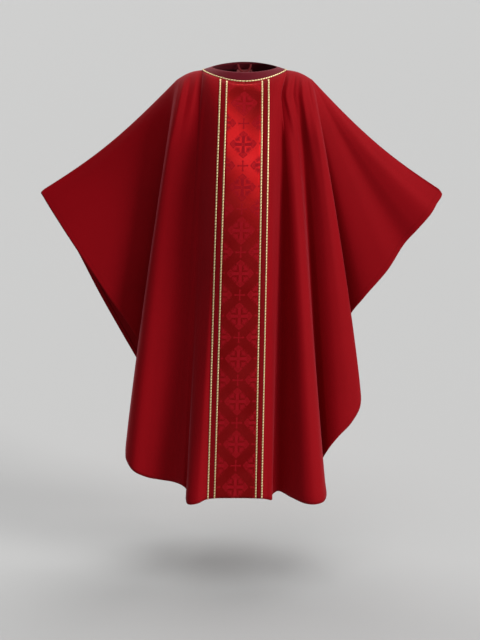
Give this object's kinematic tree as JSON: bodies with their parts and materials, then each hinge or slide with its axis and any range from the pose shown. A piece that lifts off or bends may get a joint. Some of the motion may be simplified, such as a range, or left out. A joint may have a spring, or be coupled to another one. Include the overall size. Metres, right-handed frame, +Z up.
{
  "type": "chasuble",
  "caption": "Full gothic chasuble draped as worn: red cloth body with wings over the arms, open sides, damask orphrey bands edged in gold braid front and back, round neck.",
  "frame": {"origin": "centre of the neck opening, level with the tops of the shoulders", "axes": "+Z up, the front of the garment faces -Y, the wearer's left wing reaches towards +X"},
  "size_m": [1.2298, 0.4908, 1.3127],
  "materials": {
    "crimson_cloth": "soft matt wool-like crimson cloth with a faint twill and hem stitching",
    "maroon_cloth": "darker plain-woven strip cloth, matt",
    "red_damask": "satin damask with a figured ground of crosses, half gloss",
    "gold_braid": "narrow woven braid of metallic gold thread",
    "red_tape": "plain woven tape, matt",
    "label_cloth": "blank woven label, matt dull red"
  },
  "bodies": {
    "garment": {"back_hem_facing_left": "crimson_cloth", "back_hem_facing_right": "crimson_cloth", "back_inner_braid_left": "gold_braid", "back_inner_braid_right": "gold_braid", "back_orphrey_border_left": "crimson_cloth", "back_orphrey_border_right": "crimson_cloth", "back_orphrey_damask": "red_damask", "back_outer_braid_left": "gold_braid", "back_outer_braid_right": "gold_braid", "back_panel_left": "crimson_cloth", "back_panel_right": "crimson_cloth", "blank_label": "label_cloth", "front_hem_facing_left": "crimson_cloth", "front_hem_facing_right": "crimson_cloth", "front_inner_braid_left": "gold_braid", "front_inner_braid_right": "gold_braid", "front_orphrey_border_left": "crimson_cloth", "front_orphrey_border_right": "crimson_cloth", "front_orphrey_damask": "red_damask", "front_outer_braid_left": "gold_braid", "front_outer_braid_right": "gold_braid", "front_panel_left": "crimson_cloth", "front_panel_right": "crimson_cloth", "hanging_loop": "red_tape", "neck_band": "maroon_cloth", "neck_braid": "gold_braid", "neck_facing": "maroon_cloth", "shoulder_stay_left": "red_tape", "shoulder_stay_right": "red_tape"},
    "left_wing": {"left_wing_back": "crimson_cloth", "left_wing_front": "crimson_cloth", "left_wing_hem_facing_back": "crimson_cloth", "left_wing_hem_facing_front": "crimson_cloth"},
    "right_wing": {"right_wing_back": "crimson_cloth", "right_wing_front": "crimson_cloth", "right_wing_hem_facing_back": "crimson_cloth", "right_wing_hem_facing_front": "crimson_cloth"}
  },
  "joints": [
    {"name": "left_wing_lift", "type": "hinge", "parent": "garment", "child": "left_wing", "pos_m": [0.2035, 0, -0.035], "axis": [0, -1, 0], "range_deg": [0, 35]},
    {"name": "right_wing_lift", "type": "hinge", "parent": "garment", "child": "right_wing", "pos_m": [-0.2035, 0, -0.035], "axis": [0, 1, 0], "range_deg": [0, 35]}
  ]
}
